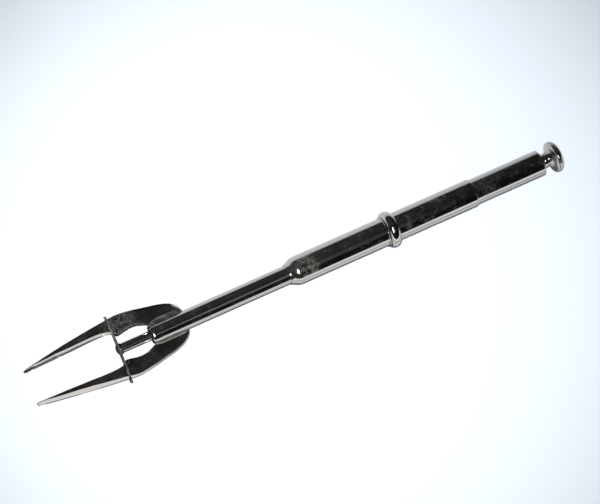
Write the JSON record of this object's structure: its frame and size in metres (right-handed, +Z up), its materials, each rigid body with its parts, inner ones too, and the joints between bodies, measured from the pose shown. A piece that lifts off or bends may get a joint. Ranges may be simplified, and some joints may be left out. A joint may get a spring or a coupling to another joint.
{
  "type": "plunger action serving fork",
  "caption": "Slim plated fork with flat tines; pressing the button slides the sleeve, rod and ejector bar forward to push food off, and a spring brings them back.",
  "frame": {"origin": "centre of the base of the bounding box, under the middle of the fork", "axes": "+X along the fork from the tine tips to the thumb button, +Z up and square to the flat tines, Y across the tines"},
  "size_m": [0.203, 0.0238, 0.0129],
  "materials": {
    "tine_plate_left": "polished silver or nickel plate, lightly worn",
    "tine_plate_right": "polished silver or nickel plate, lightly worn",
    "shaft_tube": "polished silver or nickel plate, lightly worn",
    "rod_guide_front": "turned brass, unseen inside the tubes",
    "rod_guide_rear": "turned brass, unseen inside the tubes",
    "barrel_nose": "polished silver or nickel plate, lightly worn",
    "barrel_tube": "polished plate with fine scratches and a little tarnish",
    "finger_collar": "polished silver or nickel plate, lightly worn",
    "collar_ring": "polished silver or nickel plate, lightly worn",
    "spring_seat": "turned brass, unseen inside the tubes",
    "return_spring": "drawn spring wire, unseen inside the barrel",
    "plunger_sleeve": "polished plate with fine scratches and a little tarnish",
    "sleeve_plug": "turned brass, unseen inside the tubes",
    "sleeve_end_cap": "polished silver or nickel plate, lightly worn",
    "push_rod": "polished silver or nickel plate, lightly worn",
    "button_stem": "polished silver or nickel plate, lightly worn",
    "button_back": "polished silver or nickel plate, lightly worn",
    "button_dome": "polished silver or nickel plate, lightly worn",
    "ejector_bar": "polished silver or nickel plate, lightly worn",
    "ejector_rivet": "polished silver or nickel plate, lightly worn",
    "ejector_washer": "polished silver or nickel plate, lightly worn"
  },
  "bodies": {
    "handle": {"tine_plate_left": "tine_plate_left", "tine_plate_right": "tine_plate_right", "shaft_tube": "shaft_tube", "rod_guide_front": "rod_guide_front", "rod_guide_rear": "rod_guide_rear", "barrel_nose": "barrel_nose", "barrel_tube": "barrel_tube", "finger_collar": "finger_collar", "collar_ring": "collar_ring", "spring_seat": "spring_seat", "return_spring": "return_spring"},
    "plunger": {"plunger_sleeve": "plunger_sleeve", "sleeve_plug": "sleeve_plug", "sleeve_end_cap": "sleeve_end_cap", "push_rod": "push_rod", "button_stem": "button_stem", "button_back": "button_back", "button_dome": "button_dome", "ejector_bar": "ejector_bar", "ejector_rivet": "ejector_rivet", "ejector_washer": "ejector_washer"}
  },
  "joints": [
    {"name": "plunger_slide", "type": "slide", "parent": "handle", "child": "plunger", "axis": [-1, 0, 0], "range_m": [0, 0.025], "stiffness_N_per_m": 200, "springref_m": -0.01, "deforming": ["return_spring"]}
  ]
}
